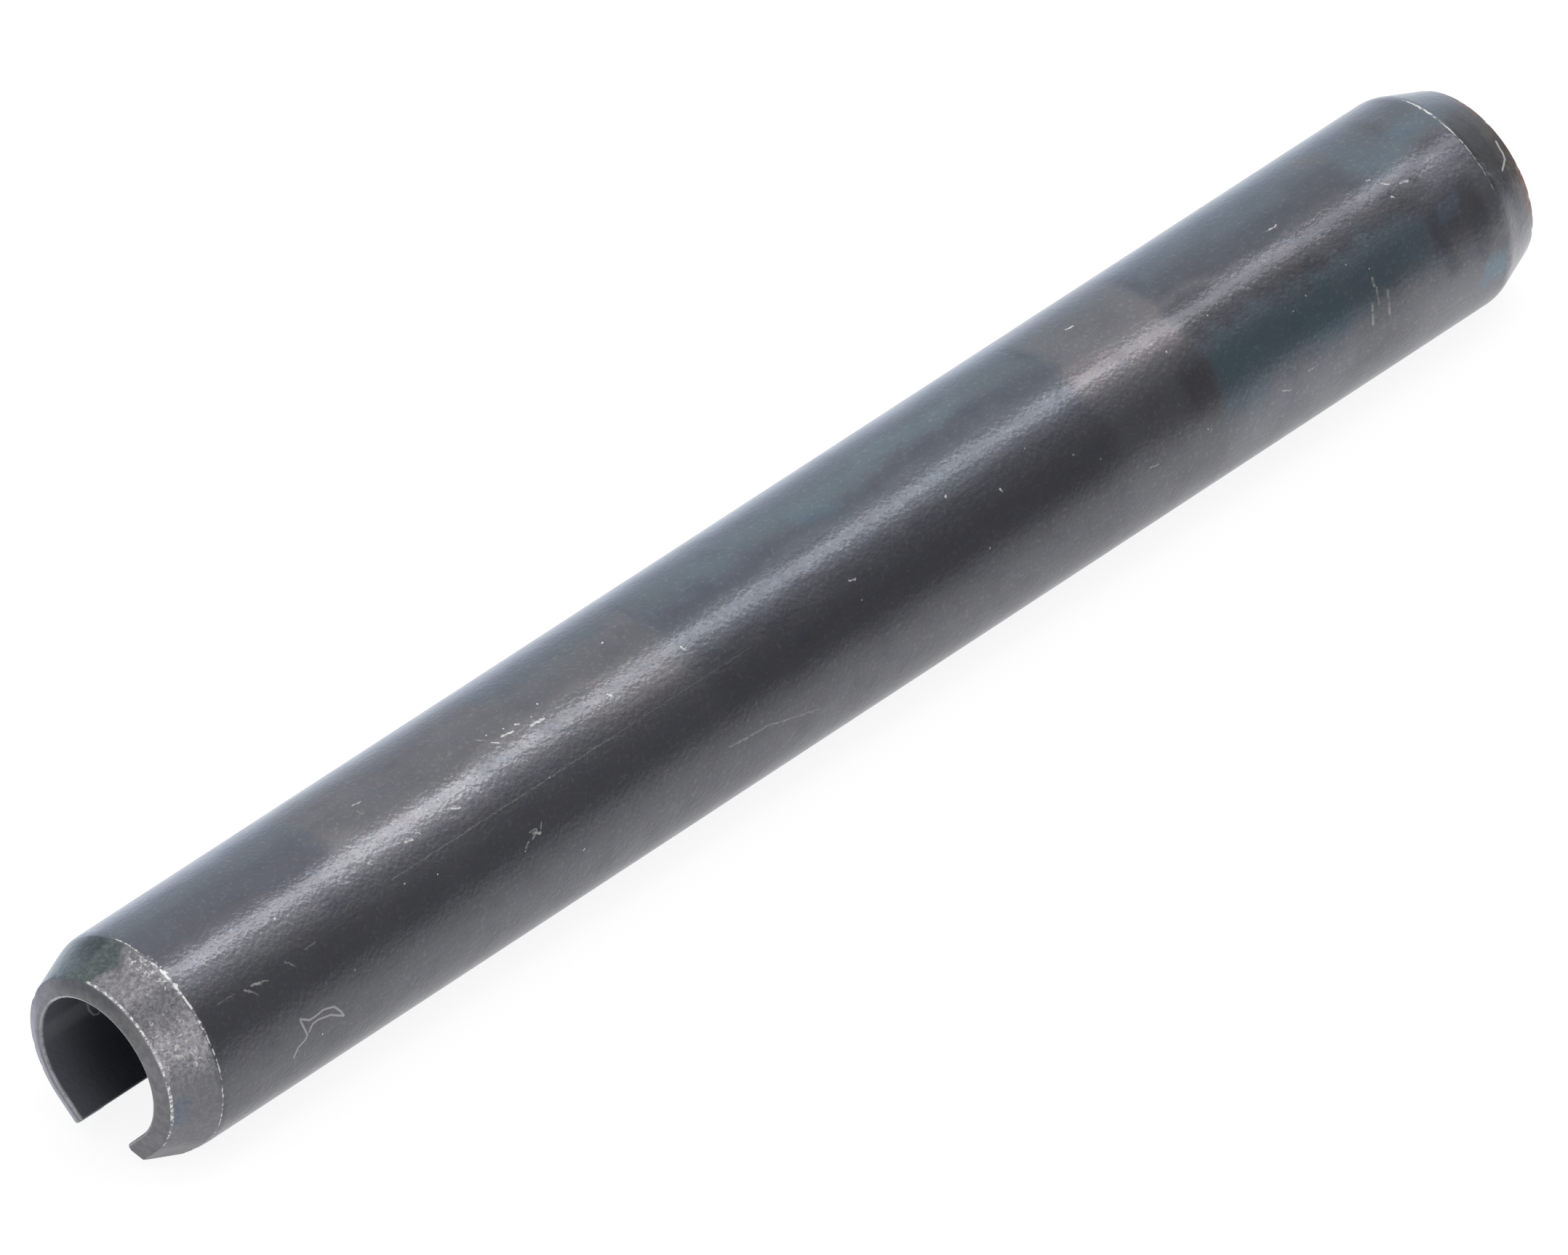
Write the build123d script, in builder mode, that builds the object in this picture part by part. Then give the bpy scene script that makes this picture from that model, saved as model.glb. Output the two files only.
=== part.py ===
"""Heavy-duty slotted spring pin, rolled in one piece from a strip of spring steel.

The pin lies along X and rests on the two lips of its slot, which faces down.
The origin is on the pin's axis, halfway along it. Sizes are in millimetres and degrees.
"""

import os
from math import asin, cos, degrees, sin

from build123d import *

# The strip and the roll
pin_length = 70.0
outside_diameter = 8.7  # relaxed, before the pin is driven into its 8 mm hole
wall = 1.5
slot_gap = 4.2  # between the outer corners of the two lips
lip_length = 1.2  # flat run at each edge of the strip, which doesn't take the bend

# The two ends
chamfer_length = 2.1  # from the end of the pin to the barrel
chamfer_depth = 0.72  # taken off the outside of the wall at the rim
end_land = 0.25  # flat ring round the bore
end_fall = 0.2  # how far the end face falls back from the flat ring to the rim

# Edges as tumbled
shoulder_radius = 1.5  # between chamfer and barrel
rim_radius = 0.08  # between end face and chamfer
bore_edge_radius = 0.12
lip_edge_radius = 0.12  # along the slot

# Worked out from the sizes above. The angle is about the axis, from the middle of the slot.
outer_radius = outside_diameter / 2
bore_radius = outer_radius - wall
half_length = pin_length / 2
roll_end_angle = asin(slot_gap / 2 / outer_radius) + asin(lip_length / outer_radius)

# The strip's cross-section stands at the end of the roll, on the +Y side.
# Its own X runs along the pin, its own Y points outwards and its normal follows the roll upwards.
strip_plane = Plane(
    origin=(0, 0, 0),
    x_dir=(1, 0, 0),
    z_dir=(0, cos(roll_end_angle), sin(roll_end_angle)),
)

with BuildPart() as spring_pin:
    with BuildSketch(strip_plane) as strip:
        with BuildLine():
            Polyline(
                (0, bore_radius),
                (half_length, bore_radius),
                (half_length, bore_radius + end_land),
                (half_length - end_fall, outer_radius - chamfer_depth),
                (half_length - chamfer_length, outer_radius),
                (0, outer_radius),
            )
            mirror(about=Plane.YZ)
        make_face()
        fillet(strip.vertices().group_by(Axis.Y)[0], radius=bore_edge_radius)
        fillet(strip.vertices().group_by(Axis.Y)[-2], radius=rim_radius)
        fillet(strip.vertices().group_by(Axis.Y)[-1], radius=shoulder_radius)

    # The roll, over the top from one lip to the other
    revolve(axis=Axis.X, revolution_arc=360 - 2 * degrees(roll_end_angle))

    # The flat lips run on from both ends of the roll
    for roll_end in spring_pin.faces().filter_by(GeomType.PLANE).sort_by(Axis.Z)[:2]:
        extrude(roll_end, amount=lip_length)

    # The barrel is sized round, so the lips stand no prouder than it does
    Cylinder(outer_radius, pin_length, rotation=(0, 90, 0), mode=Mode.INTERSECT)

    # The two faces that look at each other across the slot have rounded long edges
    for lip_end in spring_pin.faces().filter_by(GeomType.PLANE).group_by(SortBy.AREA)[-1]:
        long_edges = lip_end.edges().filter_by(Axis.X).sort_by(SortBy.LENGTH)[-2:]
        fillet(long_edges, radius=lip_edge_radius)

spring_pin.part.label = "spring_pin"

os.makedirs("parts", exist_ok=True)
export_step(spring_pin.part, "parts/spring_pin.step")
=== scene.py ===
"""A blued, tumbled spring roll pin lying on a white studio table.

The pin's own mesh follows the CAD solid's sizes, with small nicks in its worn edges, and one
procedural material holds its oxide film, heat tints, bare edges, scratches, dust and lint, and some
painted highlights and shade.
Lengths are in millimetres until they reach Blender, which works in metres. Angles round the pin
are in degrees from its top, positive towards +Y, and the slot faces down. The near end is at -X.
"""

import math

import bpy
import numpy as np
from mathutils import Matrix, Vector, noise


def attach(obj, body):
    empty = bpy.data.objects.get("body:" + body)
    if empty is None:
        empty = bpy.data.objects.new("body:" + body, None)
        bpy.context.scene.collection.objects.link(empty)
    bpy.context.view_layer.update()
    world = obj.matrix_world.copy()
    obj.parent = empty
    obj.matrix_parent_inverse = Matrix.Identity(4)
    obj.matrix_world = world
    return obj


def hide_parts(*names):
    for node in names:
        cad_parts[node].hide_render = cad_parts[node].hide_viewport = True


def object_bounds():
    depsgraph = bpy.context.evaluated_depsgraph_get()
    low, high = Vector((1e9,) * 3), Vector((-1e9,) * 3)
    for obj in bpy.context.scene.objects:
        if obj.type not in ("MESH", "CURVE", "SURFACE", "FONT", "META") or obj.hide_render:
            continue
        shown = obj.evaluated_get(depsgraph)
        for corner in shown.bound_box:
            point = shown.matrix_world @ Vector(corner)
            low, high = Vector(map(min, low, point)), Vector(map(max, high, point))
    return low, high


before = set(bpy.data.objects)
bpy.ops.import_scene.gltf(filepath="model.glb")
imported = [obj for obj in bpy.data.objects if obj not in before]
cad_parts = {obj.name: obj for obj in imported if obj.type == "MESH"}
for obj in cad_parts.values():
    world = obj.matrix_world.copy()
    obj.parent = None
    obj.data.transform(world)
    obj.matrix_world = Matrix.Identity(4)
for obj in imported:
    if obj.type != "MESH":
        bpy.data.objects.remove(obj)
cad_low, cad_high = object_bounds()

MM = 0.001

# The strip, the roll and the ends, as in the part's source
PIN_LENGTH = 70.0
OUTER = 4.35
WALL = 1.5
SLOT_GAP = 4.2
LIP_LENGTH = 1.2
CHAMFER_LENGTH = 2.1
CHAMFER_DEPTH = 0.72
END_LAND = 0.25
END_FALL = 0.2
SHOULDER_RADIUS = 1.5
RIM_RADIUS = 0.08
EDGE_RADIUS = 0.12
LAND_RADIUS = 0.04  # round a corner that the source leaves sharp

HALF = PIN_LENGTH / 2
BORE = OUTER - WALL
SHOULDER_X = HALF - CHAMFER_LENGTH
RIM_X = HALF - END_FALL
RIM_R = OUTER - CHAMFER_DEPTH
ROLL_END = math.asin(SLOT_GAP / 2 / OUTER) + math.asin(LIP_LENGTH / OUTER)  # from the slot's middle
LEAN = math.pi - ROLL_END  # the angle from the top at which the roll ends and the lips begin

# The mesh's grid
LONG_RUN = 150  # points along the pin
CROWDING = 0.75  # how much closer together they are near the ends
ROLL_STATIONS = 150
LIP_STATIONS = 9
LIP_ROUNDING = (0, 18, 36, 54, 72, 90)  # degrees round the lips' edges
SMALLEST_FILLET = 0.004

# The nicks in the edges
NICK_SCALES = (2.3, 6.1)  # per millimetre, broad and small
NICK_LEVEL = 0.12
NICK_DEPTH = 0.055
NICKED_REACH = {"shoulder": 0.22, "rim": 0.10}
SHOULDER_SHARE = 0.55  # of a rim's nicks
LEAST_WEIGHT = 0.02


def link_object(name, data):
    """A new object in the scene."""
    made = bpy.data.objects.new(name, data)
    bpy.context.scene.collection.objects.link(made)
    return made


# ---------------------------------------------------------------- the pin's mesh

# Corner x and r, fillet radius, steps round the fillet, and points in the run to the next corner.
# They go anticlockwise, so that the strip's inside is on the left.
STRIP = [
    (-HALF, BORE, EDGE_RADIUS, 6, LONG_RUN),
    (HALF, BORE, EDGE_RADIUS, 6, 2),
    (HALF, BORE + END_LAND, LAND_RADIUS, 3, 5),
    (RIM_X, RIM_R, RIM_RADIUS, 6, 16),
    (SHOULDER_X, OUTER, SHOULDER_RADIUS, 9, LONG_RUN),
    (-SHOULDER_X, OUTER, SHOULDER_RADIUS, 9, 16),
    (-RIM_X, RIM_R, RIM_RADIUS, 6, 5),
    (-HALF, BORE + END_LAND, LAND_RADIUS, 3, 2),
]
BORE_RUN, OUTER_RUN = 0, 4  # the rows whose runs are the two long ones


def inset_corners(inset):
    """The corners of the strip's outline when all its edges are moved inwards by inset."""
    points = [np.array(row[:2]) for row in STRIP]
    count = len(points)
    lines = []
    for i in range(count):
        along = points[(i + 1) % count] - points[i]
        along /= np.linalg.norm(along)
        inward = np.array([-along[1], along[0]])
        lines.append((points[i] + inward * inset, along))
    moved = []
    for i in range(count):
        (p, a), (q, b) = lines[i - 1], lines[i]
        t = np.linalg.solve(np.array([a, -b]).T, q - p)[0]
        moved.append(p + a * t)
    return moved


def fillet(corner, before, after, radius, steps):
    """The points of a fillet at a corner, which lies between two others."""
    before = before - corner
    after = after - corner
    before /= np.linalg.norm(before)
    after /= np.linalg.norm(after)
    half_angle = math.acos(np.clip(before @ after, -1, 1)) / 2
    middle = (before + after) / np.linalg.norm(before + after)
    centre = corner + middle * radius / math.sin(half_angle)
    reach = radius / math.tan(half_angle)
    first = corner + before * reach - centre
    last = corner + after * reach - centre
    sweep = math.atan2(first[0] * last[1] - first[1] * last[0], first @ last)
    points = []
    for k in range(steps + 1):
        a = sweep * k / steps
        turned = (first[0] * math.cos(a) - first[1] * math.sin(a),
                  first[0] * math.sin(a) + first[1] * math.cos(a))
        points.append(centre + np.array(turned))
    return points


def spaced(start, end, count, crowding):
    """Points from start to end, both left out, closer together near the ends."""
    t = np.arange(1, count + 1) / (count + 1)
    eased = t - crowding * np.sin(2 * math.pi * t) / (2 * math.pi)
    return [start + (end - start) * e for e in eased]


def strip_outline(inset):
    """The strip's cross-section as a closed loop of (x, r), with all its edges moved inwards."""
    corners = inset_corners(inset)
    count = len(corners)
    arcs = []
    for i, (_, _, radius, steps, _) in enumerate(STRIP):
        radius = max(radius - inset, SMALLEST_FILLET)
        arcs.append(fillet(corners[i], corners[i - 1], corners[(i + 1) % count], radius, steps))
    loop = []
    for i, (*_, run) in enumerate(STRIP):
        loop += arcs[i]
        loop += spaced(arcs[i][-1], arcs[(i + 1) % count][0], run, CROWDING if run == LONG_RUN else 0.0)
    return np.array(loop)


def roll_stations():
    """Where the strip's cross-section is repeated: (side, angle from the top, lip distance, inset)."""
    rounding = [EDGE_RADIUS * (1 - math.cos(math.radians(a))) for a in LIP_ROUNDING]
    lips = [(d, EDGE_RADIUS - math.sqrt(EDGE_RADIUS**2 - (EDGE_RADIUS - d) ** 2)) for d in rounding]
    lips += [(d, 0.0) for d in np.linspace(EDGE_RADIUS, LIP_LENGTH, LIP_STATIONS)[1:]]
    arc = [(0, a, 0.0, 0.0) for a in np.linspace(-LEAN, LEAN, ROLL_STATIONS)[1:-1]]
    left = [(-1, -LEAN, LIP_LENGTH - d, inset) for d, inset in lips]
    right = [(1, LEAN, LIP_LENGTH - d, inset) for d, inset in reversed(lips)]
    return left + arc + right


def nick(point, weight):
    """How deep a tumbling nick is at this place, in millimetres."""
    broad, small = NICK_SCALES
    dents = noise.noise(point * broad) + 0.5 * noise.noise(point * small)
    return weight * max(0.0, dents - NICK_LEVEL)


def edge_weight(x, r):
    """How much an edge is nicked: 1 on the rims, about a half on the shoulders, 0 away from both."""
    to_shoulder = (abs(x) - SHOULDER_X) / NICKED_REACH["shoulder"]
    to_rim = ((abs(x) - RIM_X) / NICKED_REACH["rim"]) ** 2 + ((r - RIM_R) / NICKED_REACH["rim"]) ** 2
    shoulder = math.exp(-(to_shoulder**2)) if r > RIM_R else 0.0
    return min(1.0, SHOULDER_SHARE * shoulder + math.exp(-to_rim))


def station_point(x, r, station):
    """A point of the strip's outline, carried to a station of the roll and nicked there."""
    side, angle, lip, inset = station
    radial = np.array([math.sin(angle), math.cos(angle)])
    onward = np.array([math.cos(angle), -math.sin(angle)]) * (side or 1)
    yz = radial * r + onward * lip
    reach = math.hypot(*yz)
    limit = OUTER - inset
    if reach > limit:
        yz *= limit / reach
    weight = edge_weight(x, r)
    if weight > LEAST_WEIGHT:
        depth = nick(Vector((x, *yz)), NICK_DEPTH * weight)
        yz = yz - radial * depth
        x -= math.copysign(depth / 2, x)
    return x, yz[0], yz[1]


def pin_rings():
    """One ring of vertices for each station, in millimetres."""
    rings = []
    for station in roll_stations():
        outline = strip_outline(station[-1])
        rings.append([station_point(x, r, station) for x, r in outline])
    return rings


def run_indices():
    """The loop's points on the bore run and on the outer run, paired across the wall."""
    starts, at = [], 0
    for _, _, _, steps, run in STRIP:
        starts.append(at + steps + 1)
        at += steps + 1 + run
    bore_at, outer_at = starts[BORE_RUN], starts[OUTER_RUN]
    bore = [bore_at + i for i in range(LONG_RUN)]
    outer = [outer_at + LONG_RUN - 1 - i for i in range(LONG_RUN)]
    return bore, outer


def cap_faces(base, count, flip):
    """Fills one lip's end face: quads across the wall, and one face at each end of the pin."""
    bore, outer = run_indices()
    faces = []
    for i in range(LONG_RUN - 1):
        faces.append([bore[i], bore[i + 1], outer[i + 1], outer[i]])
    faces.append([bore[-1]] + list(range(bore[-1] + 1, outer[-1] + 1)))
    faces.append([outer[0]] + list(range(outer[0] + 1, count)) + list(range(0, bore[0] + 1)))
    faces = [[base + v for v in f] for f in faces]
    return [f[::-1] for f in faces] if flip else faces


def build_pin():
    """The pin as one closed mesh."""
    rings = pin_rings()
    count = len(rings[0])
    vertices = [tuple(c * MM for c in p) for ring in rings for p in ring]
    faces = []
    for k in range(len(rings) - 1):
        low, high = k * count, (k + 1) * count
        for i in range(count):
            j = (i + 1) % count
            faces.append((low + i, high + i, high + j, low + j))
    faces += cap_faces(0, count, False)
    faces += cap_faces((len(rings) - 1) * count, count, True)
    mesh = bpy.data.meshes.new("pin_body")
    mesh.from_pydata(vertices, [], faces)
    mesh.validate()
    mesh.shade_smooth()
    return link_object("pin_body", mesh)


# ---------------------------------------------------------------- node helpers

class Graph:
    """Short calls for building a node tree. Every value is a socket or a number."""

    def __init__(self, tree):
        self.nodes = tree.nodes
        self.links = tree.links

    def node(self, kind, inputs=None, **settings):
        """A new node with these inputs and settings."""
        made = self.nodes.new(kind)
        for name, value in settings.items():
            setattr(made, name, value)
        for name, value in (inputs or {}).items():
            self.put(made.inputs[name], value)
        return made

    def put(self, socket, value):
        """Links a socket to an input, or sets a constant on it."""
        if isinstance(value, bpy.types.NodeSocket):
            self.links.new(value, socket)
        else:
            socket.default_value = value

    def math(self, operation, a, b=0.0):
        made = self.node("ShaderNodeMath", operation=operation)
        for socket, value in zip(made.inputs, (a, b)):
            self.put(socket, value)
        return made.outputs[0]

    def add(self, a, b):
        return self.math("ADD", a, b)

    def sub(self, a, b):
        return self.math("SUBTRACT", a, b)

    def mul(self, a, b):
        return self.math("MULTIPLY", a, b)

    def divide(self, a, b):
        return self.math("DIVIDE", a, b)

    def size(self, a):
        """The value without its sign."""
        return self.math("ABSOLUTE", a)

    def invert(self, a):
        """1 less the value."""
        return self.math("SUBTRACT", 1.0, a)

    def either(self, a, b):
        """The larger of the two."""
        return self.math("MAXIMUM", a, b)

    def step(self, value, low, high, out_low=0.0, out_high=1.0):
        """A smooth step of value from low to high."""
        made = self.node("ShaderNodeMapRange", interpolation_type="SMOOTHSTEP", clamp=False)
        for name, v in (("Value", value), ("From Min", low), ("From Max", high),
                        ("To Min", out_low), ("To Max", out_high)):
            self.put(made.inputs[name], v)
        return made.outputs["Result"]

    def noise(self, vector, scale, detail, roughness, distortion=0.0):
        made = self.node("ShaderNodeTexNoise", {
            "Vector": vector, "Scale": scale, "Detail": detail,
            "Roughness": roughness, "Distortion": distortion})
        return made.outputs["Fac"]

    def mix(self, factor, a, b):
        """Mixes two colours."""
        made = self.node("ShaderNodeMix", data_type="RGBA")
        self.put(made.inputs[0], factor)
        for socket, value in ((made.inputs[6], a), (made.inputs[7], b)):
            self.put(socket, value if isinstance(value, bpy.types.NodeSocket) else (*value, 1.0))
        return made.outputs[2]

    def tint(self, factor, colour, by):
        """Multiplies a colour by another where factor is 1."""
        made = self.node("ShaderNodeMix", data_type="RGBA", blend_type="MULTIPLY")
        self.put(made.inputs[0], factor)
        self.put(made.inputs[6], colour)
        self.put(made.inputs[7], (*by, 1.0))
        return made.outputs[2]

    def vector(self, x, y, z):
        made = self.node("ShaderNodeCombineXYZ", {"X": x, "Y": y, "Z": z})
        return made.outputs[0]

    def split(self, vector):
        """A vector's three components."""
        return self.node("ShaderNodeSeparateXYZ", {0: vector}).outputs

    def vectors(self, operation, a, b):
        """A vector math node of two vectors."""
        return self.node("ShaderNodeVectorMath", {0: a, 1: b}, operation=operation)

    def output(self, shader, kind="ShaderNodeOutputMaterial"):
        """Makes a shader node the tree's result."""
        self.node(kind, {"Surface": shader.outputs[0]})


def new_material(name):
    """An empty node material and its graph."""
    material = bpy.data.materials.new(name)
    material.use_nodes = True
    material.node_tree.nodes.clear()
    return material, Graph(material.node_tree)


def grouped(g, name, inputs, result, build):
    """A part of the network, built in a node group of its own. It is faster to lay out there."""
    tree = bpy.data.node_groups.new(name, "ShaderNodeTree")
    for label, socket in inputs.items():
        tree.interface.new_socket(label, in_out="INPUT", socket_type=socket.bl_idname)
    tree.interface.new_socket("Result", in_out="OUTPUT", socket_type=result)
    inner = Graph(tree)
    source = inner.node("NodeGroupInput")
    sink = inner.node("NodeGroupOutput")
    inner.put(sink.inputs["Result"], build(inner, *[source.outputs[label] for label in inputs]))
    made = g.node("ShaderNodeGroup", node_tree=tree)
    for label, socket in inputs.items():
        g.put(made.inputs[label], socket)
    return made.outputs["Result"]


def product(g, factors):
    """All the factors multiplied together."""
    total = factors[0]
    for factor in factors[1:]:
        total = g.mul(total, factor)
    return total


def window_sides(g, value, low, high, soft, limit):
    """The two fading sides of a window. A side that lies at the limit or past it is left out."""
    half = soft / 2
    sides = []
    if low > -limit:
        sides.append(g.step(value, low - half, low + half))
    if high < limit:
        sides.append(g.step(value, high - half, high + half, 1.0, 0.0))
    return sides


def unrolled(degrees):
    """How far round the unrolled outside an angle lies, in millimetres."""
    return math.radians(degrees) * OUTER


def past(g, s, low, high):
    """A smooth step from one angle to another."""
    return g.step(s, unrolled(low), unrolled(high))


def sector(g, s, low, high, soft):
    """1 between two angles, fading over soft degrees at both."""
    return product(g, window_sides(g, s, unrolled(low), unrolled(high), unrolled(soft), math.inf))


SOLID_SHARE = 0.3  # of a mark's half-width, from its middle


def line_mask(g, flat, start, end, width, strength):
    """A straight scratch from one point of the unrolled surface to another."""
    along = end - start
    offset = g.vectors("SUBTRACT", flat, start).outputs["Vector"]
    share = g.vectors("DOT_PRODUCT", offset, along / along.length_squared).outputs["Value"]
    share = g.math("MINIMUM", g.either(share, 0.0), 1.0)
    scaled = g.node("ShaderNodeVectorMath", {0: along, "Scale": share}, operation="SCALE")
    away = g.vectors("DISTANCE", offset, scaled.outputs["Vector"]).outputs["Value"]
    return g.step(away, width * SOLID_SHARE, width, strength, 0.0)


def dot_mask(g, flat, centre, radius, strength):
    """A single round speck on the unrolled surface."""
    away = g.vectors("DISTANCE", flat, centre).outputs["Value"]
    return g.step(away, radius * SOLID_SHARE, radius, strength, 0.0)


# ---------------------------------------------------------------- the blued steel

GREY = (0.134, 0.136, 0.150)  # the film, before its tints
BARE = (0.63, 0.62, 0.61)
# the painted glint of burrs and deep nicks
BURR_GLINT = (0.92, 0.92, 0.91)
LINT = (0.40, 0.40, 0.41)
FULL = 36.0  # past either end of the pin
ROUND = 180.0  # as far as an angle goes
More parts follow.
